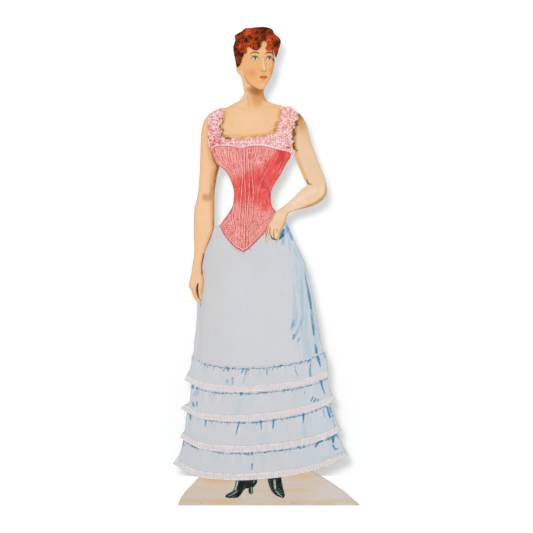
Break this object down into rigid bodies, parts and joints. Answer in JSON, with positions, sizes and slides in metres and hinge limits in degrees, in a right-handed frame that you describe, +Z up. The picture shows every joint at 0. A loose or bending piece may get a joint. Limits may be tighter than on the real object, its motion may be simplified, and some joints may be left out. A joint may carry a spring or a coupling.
{
  "type": "paper doll",
  "caption": "Die-cut paper doll of a lady in corset and flounced petticoat, printed and embossed on card, leaning back on a folding card easel strut.",
  "frame": {"origin": "middle of the card's bottom edge, halfway through its thickness, on the surface that the doll stands on", "axes": "+Z up, +X to the right of someone looking at the doll's front, and the doll faces -Y; the card leans back 10 degrees towards +Y, where the strut is"},
  "size_m": [0.0991, 0.0482, 0.2499],
  "materials": {
    "pulp_board": "pressed pulp board, buff and uncoated, darker at the cut edge",
    "lining_paper": "plain laid paper, aged cream",
    "strut_card": "smooth grey-buff card, matt",
    "hinge_cloth": "plain-weave book cloth, sized",
    "printed_ground": "lithographed beige with sand-coloured streaks, slight gloss",
    "printed_shoe": "lithographed black with pale highlights, slight gloss",
    "printed_petticoat": "lithographed pale blue-grey with blue brush strokes, slight gloss",
    "printed_edging": "lithographed pinkish white, finely pleated in relief",
    "printed_corset": "lithographed salmon pink with white and red cording, embossed",
    "printed_lace": "lithographed pinkish white with rose mottling, embossed",
    "printed_skin": "lithographed peach skin with brown shading, slight gloss",
    "printed_hair": "lithographed auburn curls, stippled and embossed"
  },
  "bodies": {
    "doll": {"card_board": "pulp_board", "back_lining": "lining_paper", "strut_tab": "strut_card", "hinge_cloth_upper": "hinge_cloth", "ground": "printed_ground", "right_shoe": "printed_shoe", "left_shoe": "printed_shoe", "petticoat": "printed_petticoat", "flounce_1": "printed_petticoat", "flounce_2": "printed_petticoat", "flounce_3": "printed_petticoat", "flounce_4": "printed_petticoat", "edging_1": "printed_edging", "edging_2": "printed_edging", "edging_3": "printed_edging", "edging_4": "printed_edging", "corset": "printed_corset", "lace_trim": "printed_lace", "right_arm": "printed_skin", "left_arm": "printed_skin", "head_and_chest": "printed_skin", "hair": "printed_hair"},
    "strut": {"strut_leg": "strut_card", "hinge_cloth_lower": "hinge_cloth"}
  },
  "joints": [
    {"name": "strut_fold", "type": "hinge", "parent": "doll", "child": "strut", "pos_m": [-0.00995, 0.02453, 0.12962], "axis": [1, 0, 0], "range_deg": [-19.8, 70]}
  ]
}
